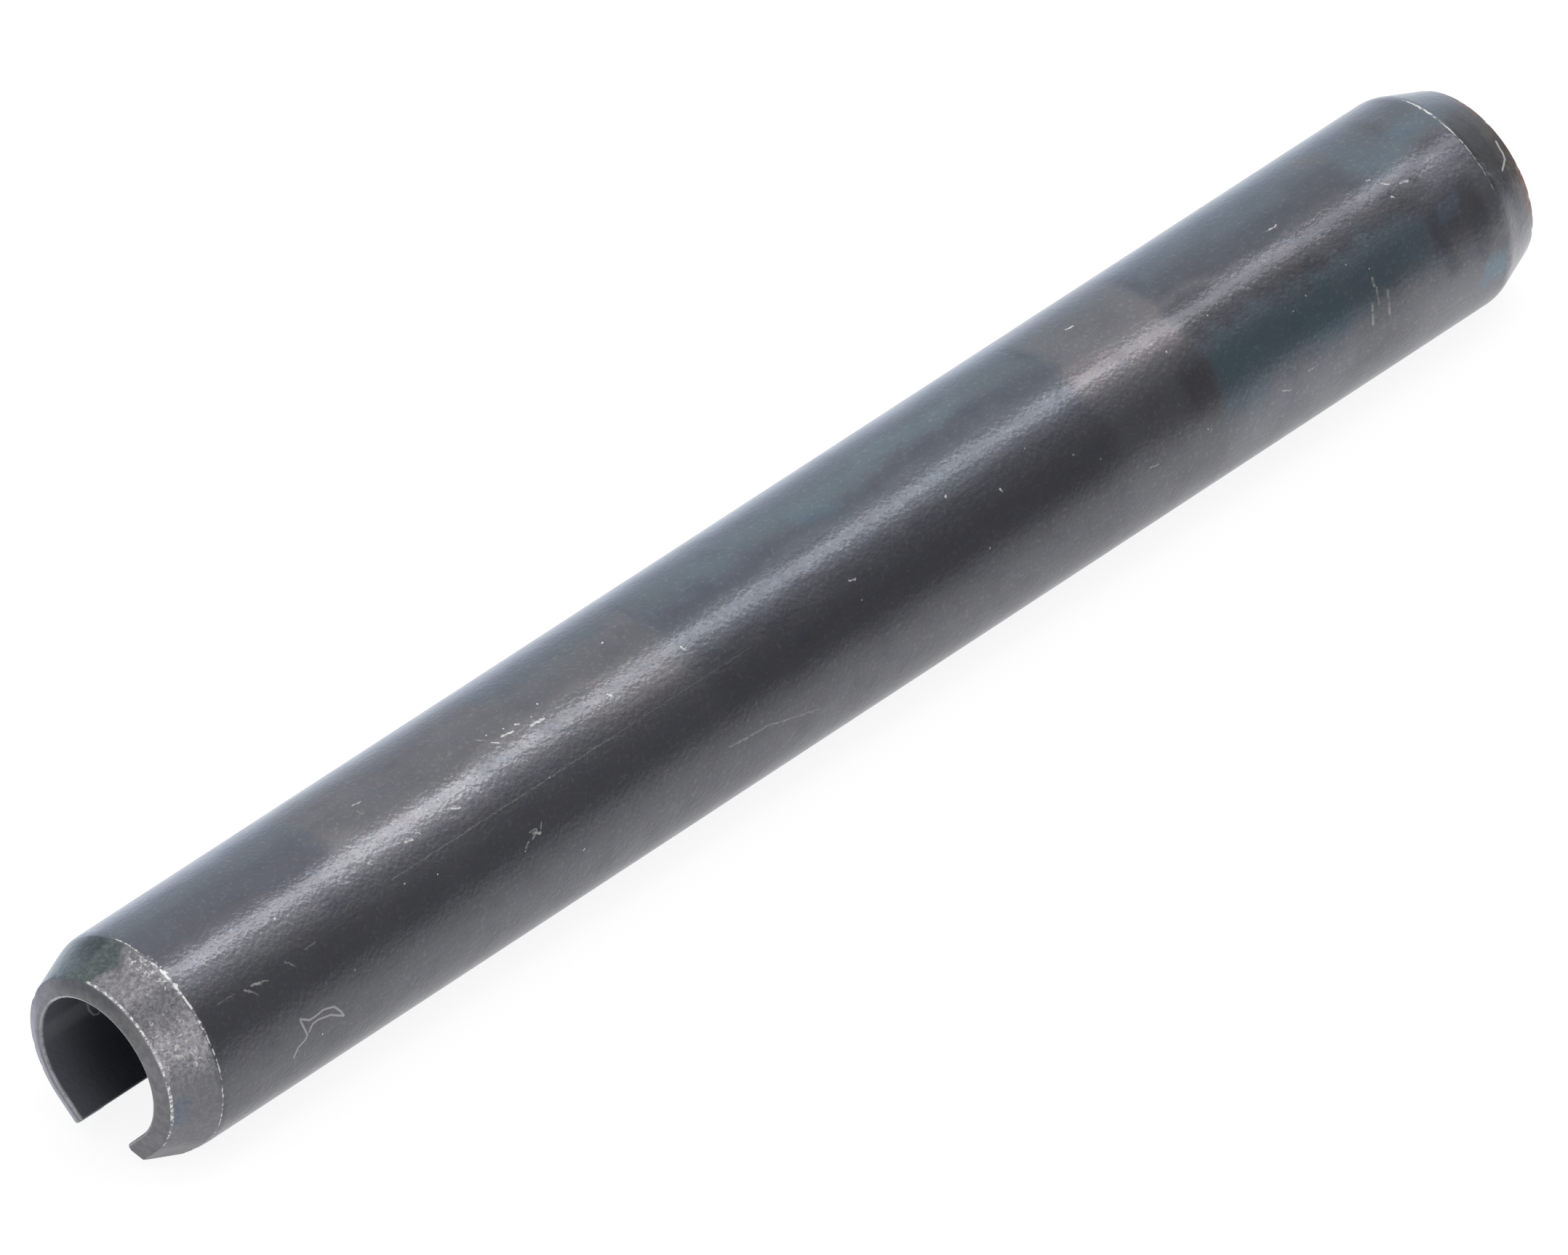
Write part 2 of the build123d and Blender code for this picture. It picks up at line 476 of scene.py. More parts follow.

# The film's tints, with painted highlights and painted shade among them: x from and to, softness along
# x, angle from and to, softness round the pin, and the multiplier. Both softnesses are in millimetres.
TINTS_AND_PAINTED_LIGHT = [
    # blue-green over the top, with a bluish lower border
    (-FULL, FULL, 1.0, -4, ROUND, 1.6, (0.90, 0.99, 1.04)),
    (-FULL, FULL, 1.0, 14, 60, 1.4, (0.98, 1.00, 1.05)),
    # painted highlight: these two rows lighten the upper flank from 28° up, by the top silhouette, most
    # on the near and middle parts
    (-FULL, FULL, 1.0, 28, 60, 1.4, (1.16, 1.10, 1.12)),
    (-FULL, 15.0, 6.0, 28, 60, 1.4, (1.48, 1.43, 1.43)),
    (-FULL, FULL, 1.0, 9, 23, 1.2, (0.93, 0.93, 0.93)),
    (-FULL, FULL, 1.0, -20, -4, 1.4, (0.93, 0.97, 1.02)),
    (-7.6, 12.9, 0.7, -7, 60, 1.3, (0.94, 1.01, 1.02)),
    (-5.0, 10.0, 2.5, -6, 9, 1.2, (1.07, 1.13, 1.13)),
    (0.5, 9.0, 2.0, -5, 7, 1.0, (1.07, 1.08, 1.06)),
    (0.2, 1.9, 0.9, -15, -4, 0.9, (0.99, 1.17, 1.21)),
    (18.3, 30.0, 0.7, -3, 60, 1.2, (0.94, 1.01, 1.04)),
    (-7.6, 12.9, 0.9, -42, -9, 1.8, (0.94, 1.00, 1.03)),
    # straw and brown
    (-24.3, -15.0, 0.9, 2, 24, 1.4, (1.12, 0.99, 0.94)),
    (-24.3, -7.6, 0.8, -20, 5, 1.4, (1.14, 1.09, 1.04)),
    (12.9, 18.1, 0.7, -38, 18, 1.6, (1.19, 1.11, 1.04)),
    (13.0, 18.0, 1.2, -24, -4, 1.4, (1.10, 1.12, 1.14)),
    (27.4, 28.3, 0.5, 2, 17, 0.8, (1.22, 1.00, 0.90)),
    (6.7, 7.3, 0.4, 12, 24, 0.8, (1.14, 1.00, 0.94)),
    # thin dark lines where the film's bands meet
    (-7.8, -7.5, 0.4, -2, 20, 1.2, (0.84, 0.84, 0.86)),
    (12.5, 12.9, 0.5, 2, 20, 1.0, (0.84, 0.80, 0.80)),
    (18.1, 18.6, 0.5, -8, 22, 1.2, (0.80, 0.80, 0.84)),
    (30.6, 31.1, 0.5, 3, 24, 1.2, (0.84, 0.80, 0.78)),
    # deep blue-green
    (18.1, 24.6, 0.8, -77, -45, 2.1, (0.71, 0.98, 1.06)),
    (24.6, 29.6, 1.6, -76, -45, 1.8, (0.78, 1.02, 1.08)),
    (19.0, 25.0, 1.5, -104, -68, 1.8, (1.09, 1.12, 1.15)),
    (28.6, 33.2, 1.6, -17, -4, 1.5, (1.06, 1.28, 1.32)),
    (31.3, 32.7, 0.6, -105, -88, 0.7, (0.92, 1.18, 1.28)),
    # lighter and duller, where the film is thin
    (-25.0, -7.6, 1.6, -42, -16, 1.6, (1.26, 1.25, 1.22)),
    (-24.3, -17.5, 2.5, -37, -22, 1.4, (1.22, 1.21, 1.21)),
    (-19.5, -14.8, 1.0, -21, -14, 1.0, (0.88, 0.88, 0.88)),
    (-26.0, -14.8, 1.5, -46, -37, 1.0, (0.88, 0.88, 0.89)),
    (-12.0, -7.2, 1.0, -43, -33, 1.0, (1.22, 1.16, 1.12)),
    (-33.5, -24.5, 1.0, -46, -27, 1.2, (1.22, 1.21, 1.20)),
    (-24.3, -19.0, 1.5, -53, -44, 1.5, (1.16, 1.16, 1.16)),
    (18.0, 33.5, 0.8, -126, -43, 1.8, (1.26, 1.26, 1.24)),
    (28.0, 33.5, 2.0, -122, -55, 1.8, (1.14, 1.14, 1.15)),
    (25.0, 33.0, 1.5, -52, -39, 1.2, (1.16, 1.20, 1.22)),
    # dark rounded blotches and the violet edge of the film
    (14.0, 18.0, 0.9, -72, -46, 1.8, (1.00, 0.99, 0.96)),
    (16.8, 18.1, 0.6, -75, -46, 1.4, (0.80, 0.77, 0.80)),
    (13.2, 18.0, 1.2, -96, -62, 1.8, (1.16, 1.16, 1.15)),
    (29.6, 32.2, 0.55, -83, -46, 0.9, (0.74, 0.73, 0.75)),
    (30.2, 31.4, 0.4, -59, -50, 0.5, (1.18, 1.32, 1.42)),
    (30.3, 31.3, 0.5, -84, -66, 0.8, (1.22, 1.22, 1.22)),
    (-33.0, -24.8, 0.9, -7, 4, 0.9, (0.85, 0.84, 0.87)),
    (-24.2, -14.6, 1.0, 7, 14, 0.8, (0.93, 0.92, 0.95)),
    (-7.2, -2.0, 1.6, -13, -3, 0.9, (0.88, 0.86, 0.91)),
    (5.5, 12.8, 2.0, -12, -5, 0.8, (0.90, 0.89, 0.93)),
    (18.6, 28.4, 1.0, -19.5, -1, 1.0, (0.80, 0.81, 0.83)),
    (-FULL, -24.6, 1.2, -20, -9, 1.0, (0.84, 0.83, 0.86)),
    (-14.6, 12.9, 1.2, -20, -10, 1.0, (0.89, 0.89, 0.91)),
    # smoother and darker
    (-7.2, 13.2, 1.2, -72, -34, 2.0, (0.82, 0.81, 0.83)),
    (-14.0, 12.9, 1.2, -30.5, -23, 1.0, (0.86, 0.86, 0.86)),
    (-14.0, 12.9, 1.2, -46, -36, 1.2, (0.90, 0.90, 0.89)),
    (18.2, 33.0, 0.8, -33, -25.5, 1.0, (0.62, 0.62, 0.64)),
    (18.2, 24.8, 1.4, -44, -33, 1.0, (0.60, 0.58, 0.57)),
    (24.8, 30.0, 1.6, -44, -33, 1.0, (0.66, 0.66, 0.64)),
    (24.6, 33.0, 1.6, -30, -22, 1.0, (0.86, 0.86, 0.87)),
    # painted highlight and shade: lighter and darker bands that give the softbox's streak uneven
    # borders, and painted shade on the underside by the table
    (-14.0, FULL, 1.2, -29.5, -25.5, 0.5, (0.92, 0.92, 0.93)),
    (-24.5, 24.2, 1.5, -24.0, -19.0, 0.5, (1.08, 1.08, 1.08)),
    (-14.5, FULL, 1.2, -36, -31.5, 0.5, (1.06, 1.06, 1.05)),
    (13.2, 17.8, 0.8, -38, -31, 0.8, (1.11, 1.10, 1.09)),
    (-7.0, 12.9, 1.5, -17.5, -9, 0.7, (0.94, 0.94, 0.95)),
    (18.4, 30.0, 1.2, -19, -13, 0.6, (0.92, 0.92, 0.92)),
    (-14.5, 28.0, 1.2, -43, -37.5, 0.6, (0.94, 0.94, 0.94)),
    (-26.0, 28.0, 2.0, -51, -46, 0.8, (1.07, 1.07, 1.07)),
    (-28.0, -8.0, 3.0, -80, -60, 1.5, (0.93, 0.94, 0.94)),
    (-FULL, 24.0, 2.0, -ROUND, -117, 0.9, (0.78, 0.78, 0.78)),
    # bluish under the streak; painted shade, darker on the underside towards the table, with a slightly
    # lighter band above it
    (-FULL, FULL, 1.0, -74, -29, 1.4, (0.99, 0.99, 1.03)),
    (-FULL, FULL, 1.0, -ROUND, -106, 1.8, (0.74, 0.74, 0.73)),
    (-FULL, FULL, 1.0, -104, -84, 1.6, (1.06, 1.06, 1.06)),
    (-FULL, -24.5, 2.0, -ROUND, -96, 2.4, (0.88, 0.88, 0.88)),
    # bands round the back
    (-17.0, 3.0, 1.2, 78, 124, 2.2, (1.13, 1.04, 0.98)),
    (7.0, 24.0, 1.4, 64, 108, 2.4, (0.85, 0.97, 1.03)),
    (-33.5, -21.0, 1.2, 98, 136, 2.0, (0.85, 0.84, 0.88)),
    (12.0, 16.5, 1.0, 112, 140, 1.8, (1.10, 1.00, 0.94)),
    # the far chamfer
    (33.0, FULL, 0.3, -10, ROUND, 1.8, (0.96, 1.02, 1.02)),
    (33.0, FULL, 0.3, -62, -14, 2.2, (0.44, 0.44, 0.42)),
    (33.0, FULL, 0.3, -51, -32, 1.2, (0.58, 0.58, 0.54)),
    (34.1, FULL, 0.4, -72, -22, 1.6, (1.75, 1.58, 1.40)),
    (33.0, FULL, 0.3, -ROUND, -78, 2.0, (1.22, 1.22, 1.22)),
    (34.6, FULL, 0.1, -110, 30, 1.5, (1.40, 1.02, 0.88)),
]

# The scuffed stretches of the streak: as above, and what is added to the roughness
SCUFFS = [
    (-FULL, -24.5, 1.5, -60, -16, 2.0, 0.005),
    (-24.5, -14.5, 1.5, -60, -10, 2.5, 0.022),
    (-14.5, -7.4, 1.0, -60, -16, 2.0, 0.025),
    (-7.4, 12.9, 1.0, -60, -16, 2.0, 0.015),
    (12.9, 18.1, 0.6, -60, -10, 2.0, 0.030),
    (18.2, FULL, 0.6, -60, -16, 2.0, 0.010),
]

# Scratches: x and angle of both ends, width in millimetres, strength
SCRATCHES = [
    (-23.0, -47.3, -12.0, -47.6, 0.03, 0.26),
    (-22.0, -4.4, -21.65, -4.8, 0.05, 0.65),
    (14.80, 2.9, 15.12, 2.3, 0.06, 0.85),
    (-12.0, -47.6, -5.0, -47.9, 0.03, 0.12),
    (-30.65, -52.9, -30.4, -55.6, 0.06, 0.50),
    (-30.4, -55.4, -30.2, -58.4, 0.05, 0.40),
    (-30.3, -52.9, -29.9, -54.2, 0.07, 0.60),
    (-29.9, -54.0, -29.6, -55.3, 0.05, 0.45),
    (-28.6, -52.4, -28.3, -56.0, 0.05, 0.35),
    (-31.9, -51.6, -31.1, -51.8, 0.04, 0.25),
    (-27.6, -52.4, -27.1, -52.2, 0.05, 0.30),
    (26.36, -62.6, 26.30, -66.8, 0.09, 0.42),
    (26.38, -68.0, 26.30, -71.5, 0.08, 0.36),
    (26.28, -73.0, 26.24, -76.0, 0.07, 0.28),
    (25.95, -73.8, 25.90, -77.0, 0.09, 0.36),
    (25.85, -79.0, 25.77, -84.1, 0.08, 0.38),
    (26.79, -72.6, 26.74, -76.5, 0.09, 0.36),
    (26.72, -78.0, 26.64, -84.5, 0.08, 0.34),
    (-17.3, -70.0, -17.1, -68.0, 0.05, 0.50),
    (-16.9, -68.0, -16.6, -65.5, 0.06, 0.50),
    (-16.8, -65.6, -16.5, -67.6, 0.07, 0.70),
    (-16.3, -63.8, -16.4, -66.0, 0.05, 0.45),
    (-16.9, -64.4, -16.6, -64.8, 0.05, 0.50),
    (-16.3, -12.0, -16.1, -14.8, 0.04, 0.50),
    (-15.5, -17.6, -15.0, -18.6, 0.06, 0.80),
    (-14.7, -16.2, -14.6, -16.9, 0.08, 0.90),
    (-14.3, -21.2, -13.7, -22.0, 0.07, 0.80),
    (-16.0, -17.6, -15.8, -19.8, 0.05, 0.55),
    (23.9, -14.0, 24.05, -14.4, 0.04, 0.45),
    (24.05, -14.4, 24.3, -14.6, 0.05, 0.75),
    (24.3, -14.6, 24.42, -14.0, 0.04, 0.55),
    (0.15, -46.6, 0.4, -48.0, 0.05, 0.80),
    (7.7, -49.7, 7.75, -51.2, 0.05, 0.80),
    (29.65, -31.4, 29.95, -32.3, 0.08, 0.50),
    (29.0, -26.3, 29.25, -28.8, 0.04, 0.50),
    (28.95, -34.6, 29.0, -35.4, 0.06, 0.45),
    (28.6, -21.0, 28.75, -21.7, 0.05, 0.35),
    (-22.1, -9.0, -22.0, -12.0, 0.04, 0.30),
    (-11.0, -29.0, -10.9, -31.0, 0.05, 0.60),
    (-7.3, -29.5, -7.2, -32.0, 0.05, 0.70),
    (-21.6, -35.5, -21.3, -36.6, 0.06, 0.60),
    (-21.0, -35.0, -20.9, -36.4, 0.05, 0.60),
    (-19.2, -34.5, -18.9, -36.5, 0.05, 0.60),
    (-17.9, -34.0, -17.8, -35.8, 0.05, 0.50),
    (-24.8, -36.0, -24.5, -36.8, 0.05, 0.50),
    (-23.4, -34.6, -23.3, -35.8, 0.05, 0.50),
    (14.2, -83.0, 14.6, -84.0, 0.05, 0.35),
    (21.0, -88.0, 21.4, -90.5, 0.05, 0.45),
    (22.4, -86.0, 22.7, -86.6, 0.05, 0.40),
    (-7.4, -85.0, -5.4, -87.0, 0.05, 0.22),
    (-5.4, -87.0, -4.4, -91.0, 0.05, 0.20),
    (-4.4, -91.0, -2.9, -96.5, 0.05, 0.14),
    (-11.0, 92.0, -4.0, 94.5, 0.03, 0.22),
    (9.5, 118.0, 13.5, 116.0, 0.03, 0.20),
    (19.6, 88.0, 20.0, 93.5, 0.05, 0.50),
    (20.1, 91.0, 20.3, 95.0, 0.05, 0.40),
    (-25.0, 104.0, -24.4, 107.5, 0.06, 0.55),
    (-24.6, 101.0, -23.6, 102.5, 0.05, 0.45),
    (2.0, 74.0, 2.4, 77.0, 0.05, 0.50),
]

# Single specks: x, angle, radius in millimetres
SPECKS = [
    (-9.4, -4.0, 0.06), (14.9, 2.6, 0.08), (5.6, -38.4, 0.06),
    (-15.9, -12.6, 0.05), (12.2, -64.0, 0.05), (-14.8, -89.0, 0.05), (17.2, -82.5, 0.05),
    (-26.0, -74.5, 0.05), (22.6, -55.0, 0.05), (-13.4, -13.5, 0.05), (9.6, -39.5, 0.04),
    (0.2, -58.0, 0.04), (-21.2, -57.0, 0.04), (29.8, -31.0, 0.05), (-15.2, -14.6, 0.06),
    (-14.0, -17.5, 0.05), (26.4, -58.0, 0.04), (-27.9, -32.5, 0.05), (-22.6, -52.0, 0.05),
    (-28.0, -97.0, 0.05), (-12.0, -33.0, 0.05), (19.4, -34.0, 0.05), (17.0, -38.0, 0.05),
    (-17.4, -71.5, 0.05), (23.4, -52.0, 0.05), (25.6, -50.0, 0.05), (-14.0, 83.0, 0.05),
    (5.0, 101.0, 0.06), (17.5, 112.0, 0.05), (-29.0, 90.0, 0.05), (28.0, 97.0, 0.06),
    (-6.5, 121.0, 0.05), (11.0, 81.0, 0.04),
]

# Lint fibres stuck to the lower flank, the far chamfer and the bore: x and angle of each bend
FLANK_FIBRE = [
    (-29.4, -99.7), (-29.2, -95.3), (-28.8, -93.1), (-28.7, -91.5), (-28.9, -82.4), (-28.9, -80.8),
    (-28.5, -84.2), (-28.2, -84.2), (-27.8, -83.5), (-27.3, -85.5), (-27.0, -90.8), (-26.9, -93.9),
    (-27.2, -91.4), (-27.5, -88.7), (-28.1, -86.8), (-28.4, -87.2), (-28.6, -90.2),
]
FAR_FIBRE = [
    (34.47, -38.9), (34.40, -43.1), (34.40, -46.4), (34.31, -49.9), (34.09, -52.0), (33.87, -53.8),
]
BORE_FIBRE = [(-32.71, 85.2), (-32.66, 92.0), (-32.5, 97.7), (-32.28, 99.4), (-32.15, 96.7)]

# Their widths and strengths
FLANK_LINT, FAR_LINT, BORE_LINT = (0.06, 0.85), (0.07, 1.0), (0.07, 0.7)

# Edges worn bright: which end, which edge, angle from and to, softness in degrees,
# half-width in millimetres, share of the line that is bare, and how bare
NEAR, FAR = -1.0, 1.0
EDGE_WEAR = [
    (NEAR, "shoulder", -37, -12, 8, 0.17, 0.40, 0.75),
    (NEAR, "shoulder", -60, -20, 6, 0.06, 0.90, 1.00),
    (NEAR, "shoulder", -128, 8, 10, 0.04, 0.60, 0.60),
    (NEAR, "rim", -58, 4, 6, 0.085, 0.72, 0.90),
    (NEAR, "rim", -74, -58, 5, 0.09, 0.50, 0.90),
    (NEAR, "rim", -104, -76, 6, 0.11, 0.60, 1.00),
    (NEAR, "rim", -128, -102, 6, 0.07, 0.50, 0.70),
    (NEAR, "rim", 4, 20, 8, 0.06, 0.20, 0.60),
    (FAR, "shoulder", -16, 4, 5, 0.07, 0.70, 0.95),
    (FAR, "shoulder", -24, 10, 8, 0.04, 0.85, 0.90),
    (FAR, "shoulder", -60, -18, 8, 0.035, 0.75, 0.25),
    (FAR, "shoulder", -95, -40, 10, 0.03, 0.30, 0.30),
]

# Borders of the pin's regions, each from one side to the other
BORE_BORDER = (BORE + 0.02, BORE + 0.08)
OUTSIDE_BORDER = (BORE + 0.35, BORE + 0.5)
FACE_BORDER = (RIM_X - 0.01, RIM_X + 0.03)
FACE_OUTER_BORDER = (3.15, 3.40)
CHAMFER_BORDER = (SHOULDER_X + 0.02, SHOULDER_X + 0.10)
NEAR_HALF = (1.0, -1.0)
MOUTH = (HALF - 2.6, HALF - 0.1)
BORE_EDGE_X = (HALF - 0.12, HALF - 0.06)
BORE_EDGE_R = (BORE + 0.05, BORE + 0.13)

# The same round the pin, in degrees
WORN_BORDER = (-4.5, 1.5)  # the near chamfer is rubbed below this, and filmed above it
BEND_DIP = 5  # how far that border dips at its bend
CALM_BORDER = (-70, -84)
PAINTED_REFLECTION_BORDER = (-70, -20)
BORE_EDGE_HIGHLIGHT = (-62, 44, 20)  # where the painted highlight on the bore's edge is brightest, and its softness

# Where the border of the worn side bends, and how far the bend reaches along the pin
BEND_X = SHOULDER_X + 0.8
BEND_REACH = 0.9

# Noises: scale per millimetre, detail and roughness
DRIFT_ROUND = (0.28, 5.0, 0.6)
DRIFT_ALONG = (0.5, 5.0, 0.6)
CLOUDS = (0.9, 4.0, 0.6)
HUES = (1.5, 3.0, 0.65)
GRAIN = (5.5, 2.0, 0.7)
STREAKS = (2.0, 2.0, 0.6)
FACE_MOTTLE = (3.0, 4.0, 0.65)
CHAMFER_MOTTLE = (5.5, 4.0, 0.65)
BRUSHING = (3.5, 3.0, 0.75)
RAGGED = (3.6, 3.0, 0.75)
WANDER = (1.6, 2.0, 0.5)
BEADS = (5.0, 1.0, 0.5)
CHIPS = (3.8, 4.0, 0.80, 0.8)  # and distortion
PITS = (5.4, 1.0, 0.5)
WAVES = (1.1, 2.0, 0.5)

# How the noises are laid on
ELSEWHERE = (7.0, 3.0, 11.0)  # moves a noise, so that it differs from another of its kind
DRIFT_REACH = (1.3, 2.4)  # millimetres, along and round
STREAK_STRETCH = (0.25, 3.0)
BRUSH_STRETCH = (2.0, 0.9)
EDGE_WANDER = 0.12
SCRATCH_WOBBLE = 0.16
BREAKS = (0.35, 0.55, 0.35, 1.0)  # a line fades to about a third where the ragged noise is low
BEADING = (0.45, 0.55, 0.15, 1.0)
RIM_LINE = (RIM_X - 0.03, RIM_R + 0.02)  # x and r
LINE_CORE = 0.4  # of a worn line's half-width
SHARE_SPREAD, BREAK_EDGE = 0.35, 0.03  # how the ragged noise breaks it
CHIP_LEVEL, CROWDED_LEVEL = 0.65, 0.565
CHIP_EDGE = (-0.015, 0.035)
DUST = (0.8, 0.06, 0.05)  # cells per millimetre, share of them with a dot, and its size in cells

# Tints that follow a noise: which noise, from and to, and the multiplier
VARIATIONS = [
    ("cloud", 0.45, 0.75, (0.88, 0.88, 0.91)),
    ("hue", 0.5, 0.72, (1.05, 0.99, 1.00)),
    ("hue", 0.5, 0.28, (0.95, 1.00, 1.04)),
    ("grain", 0.52, 0.74, (1.32, 1.30, 1.27)),
    ("streaks", 0.5, 0.8, (1.07, 1.07, 1.07)),
]

# Tones and tints of the regions. A pair is what a noise or a border leads from and to.
FACE_TONES = ((0.108, 0.108, 0.111), (0.150, 0.149, 0.153))
WORN_TONES = ((0.160, 0.155, 0.173), (0.325, 0.317, 0.335))
CALM_TONE = (0.170, 0.171, 0.186)
# painted shade: the bore's oxide, dark deep inside and lighter by the mouth
BORE_SHADE_TONES = ((0.040, 0.043, 0.051), (0.122, 0.127, 0.150))
GREEN_TONES = ((0.060, 0.078, 0.090), (0.068, 0.085, 0.086))
PAINTED_REFLECTION_TINTS = ((0.97, 0.97, 1.0), (0.81, 0.89, 1.0))  # painted tints of the reflections, low on the flank and above, bluish above
BRUSHED_TINT = (1.7, 1.7, 1.65)
DIM_TINT = (0.45, 0.50, 0.50)

# How far a thing covers the colour under it, or takes the metal's shine away
RUBBED_COVER = 0.92
CALM_COVER = 0.72
BRIGHT_COVER = 0.9
DUST_COVER = 0.6
# painted glints: how far the near-white of burrs covers worn edges and deep scratches
EDGE_GLINT, SCRATCH_GLINT = 0.85, 0.5
OXIDE_DULL, LINT_DULL = 0.75, 0.8

# Roughness: of the film, and what is added
FILM_ROUGHNESS = (0.195, 0.25)
BRIGHT_ROUGHER = 0.15
WORN_ROUGHER = 0.18
BORE_ROUGHER = 0.42
COAT_WEIGHT, COAT_ROUGHNESS = 0.40, 0.17

# Bumps: strength and height in millimetres, and how much deeper the pits get in two places
PIT_BUMP = (0.43, 0.03)
WAVE_BUMP = (0.35, 0.05)
RUBBED_DEEPER = 0.8
NEAR_DEEPER = 0.35
NEAR_FADE = (-5.0, -13.0)


def surface_places(g):
    """Sockets that say where a point is: millimetre vector, x, unrolled distance and radius.

    On the flat lips the radius is measured square to the strip, as it is on the roll.
    """
    where = g.node("ShaderNodeTexCoord").outputs["Object"]
    place = g.vectors("MULTIPLY", where, (1 / MM,) * 3).outputs[0]
    x, y, z = g.split(place)
    around = g.mul(g.math("ARCTAN2", y, z), OUTER)
    radius = g.math("SQRT", g.add(g.mul(y, y), g.mul(z, z)))
    height = g.add(g.mul(g.size(y), math.sin(LEAN)), g.mul(z, math.cos(LEAN)))
    on_lip = g.math("GREATER_THAN", g.size(around), LEAN * OUTER)
    radius = g.add(radius, g.mul(on_lip, g.sub(height, radius)))
    return place, x, around, radius


def drifted(g, place, x, s):
    """x and s, made to wander, so that the outlines drawn with them do too."""
    elsewhere = g.vectors("ADD", place, ELSEWHERE).outputs[0]
    reach_along, reach_round = DRIFT_REACH
    along_drift = g.mul(g.sub(g.noise(elsewhere, *DRIFT_ALONG), 0.5), reach_along)
    round_drift = g.mul(g.sub(g.noise(place, *DRIFT_ROUND), 0.5), reach_round)
    return g.add(x, along_drift), g.add(s, round_drift)


class Surface:
    """Where a point is on the pin, which region it is in, and the noises that several marks share.

    along is x without its sign, and s is the distance round the unrolled outside from the top.
    x_drift and s_drift wander. The regions are masks, and calm is the end of the rubbed chamfer
    that has few chips.
    """

    def __init__(self, g):
        self.place, self.x, self.s, self.radius = surface_places(g)
        self.x_drift, self.s_drift = drifted(g, self.place, self.x, self.s)
        self.along = g.size(self.x)
        self.cloud = g.noise(self.place, *CLOUDS)
        self.grain = g.noise(self.place, *GRAIN)
        self.ragged = g.noise(self.place, *RAGGED)
        self.outside = g.step(self.radius, *OUTSIDE_BORDER)
        self.in_bore = g.invert(g.step(self.radius, *BORE_BORDER))
        self.on_face = g.mul(g.step(self.along, *FACE_BORDER), g.invert(self.in_bore))
        self.rubbed, self.filmed = self.near_chamfer(g)
        self.calm = past(g, self.s_drift, *CALM_BORDER)

    def stretched(self, g, along, around):
        """The place, scaled along and round the pin, for a noise that is drawn out."""
        return g.vector(g.mul(self.x, along), g.mul(self.s, around), self.radius)

    def near_chamfer(self, g):
        """The near chamfer's rubbed lower side and its filmed upper side, with a bent border."""
        chamfer = g.mul(g.step(self.along, *CHAMFER_BORDER), self.outside)
        chamfer = g.mul(chamfer, g.invert(self.on_face))
        near_end = g.step(self.x, *NEAR_HALF)
        to_bend = g.size(g.sub(self.along, BEND_X))
        dip = g.mul(g.invert(g.divide(to_bend, BEND_REACH)), unrolled(BEND_DIP))
        worn_side = g.invert(past(g, g.add(self.s_drift, dip), *WORN_BORDER))
        rubbed = g.mul(g.mul(chamfer, worn_side), near_end)
        filmed = g.mul(g.mul(chamfer, g.invert(worn_side)), near_end)
        return rubbed, filmed


def patch(g, x, s, place):
    """The mask of one patch of the film, whose place is a row's first six values."""
    x0, x1, soft_x, a0, a1, soft_s = place
    sides = window_sides(g, x, x0, x1, soft_x, FULL)
    return product(g, sides + window_sides(g, s, unrolled(a0), unrolled(a1), soft_s, unrolled(ROUND)))


def film_tints_and_painted_light(g, x, s):
    """The oxide film: its grey, with each heat tint, painted highlight and painted shade of the list
    laid over it.
    """
    colour = g.node("ShaderNodeRGB")
    colour.outputs[0].default_value = (*GREY, 1.0)
    colour = colour.outputs[0]
    for *place, by in TINTS_AND_PAINTED_LIGHT:
        colour = g.tint(patch(g, x, s, place), colour, by)
    return colour


def film_colour(g, at):
    """The film with its tints and painted light, its clouds of tone and hue, its grain and its drawn
    streaks.
    """
    colour = grouped(g, "film", {"x": at.x_drift, "s": at.s_drift}, "NodeSocketColor", film_tints_and_painted_light)
    noises = {
        "cloud": at.cloud,
        "grain": at.grain,
        "hue": g.noise(at.place, *HUES),
        "streaks": g.noise(at.stretched(g, *STREAK_STRETCH), *STREAKS),
    }
    for name, low, high, by in VARIATIONS:
        colour = g.tint(g.step(noises[name], low, high), colour, by)
    return colour


def bore_tone_and_shade(g, at):
    """The dull oxide in the bore, with painted shade: darker deep inside and lighter near the mouth,
    where more light gets in.
    """
    return g.mix(g.step(at.along, *MOUTH), *BORE_SHADE_TONES)


def end_face_tone_and_painted_light(g, at):
    """The ground end faces: bare-ish grey and mottled, with painted light: lighter towards +Y and the
    lips, a painted highlight round the outer rim towards +Y, and the rim darker and bluer over the top.
    """
    s = at.s_drift
    mottle = g.noise(at.place, *FACE_MOTTLE)
    tone = g.mix(g.step(mottle, 0.35, 0.7), *FACE_TONES)
    # painted light: lighter towards +Y and the lips, then a painted highlight on the outer rim
    tone = g.tint(past(g, s, 10, 60), tone, (1.55, 1.50, 1.66))
    tone = g.tint(past(g, s, -36, -60), tone, (1.28, 1.28, 1.33))
    outer = g.step(at.radius, *FACE_OUTER_BORDER)
    tone = g.tint(g.mul(outer, past(g, s, 50, 78)), tone, (1.46, 1.46, 1.44))
    return g.tint(g.mul(outer, sector(g, s, -22, 26, 14)), tone, (0.72, 0.73, 0.80))


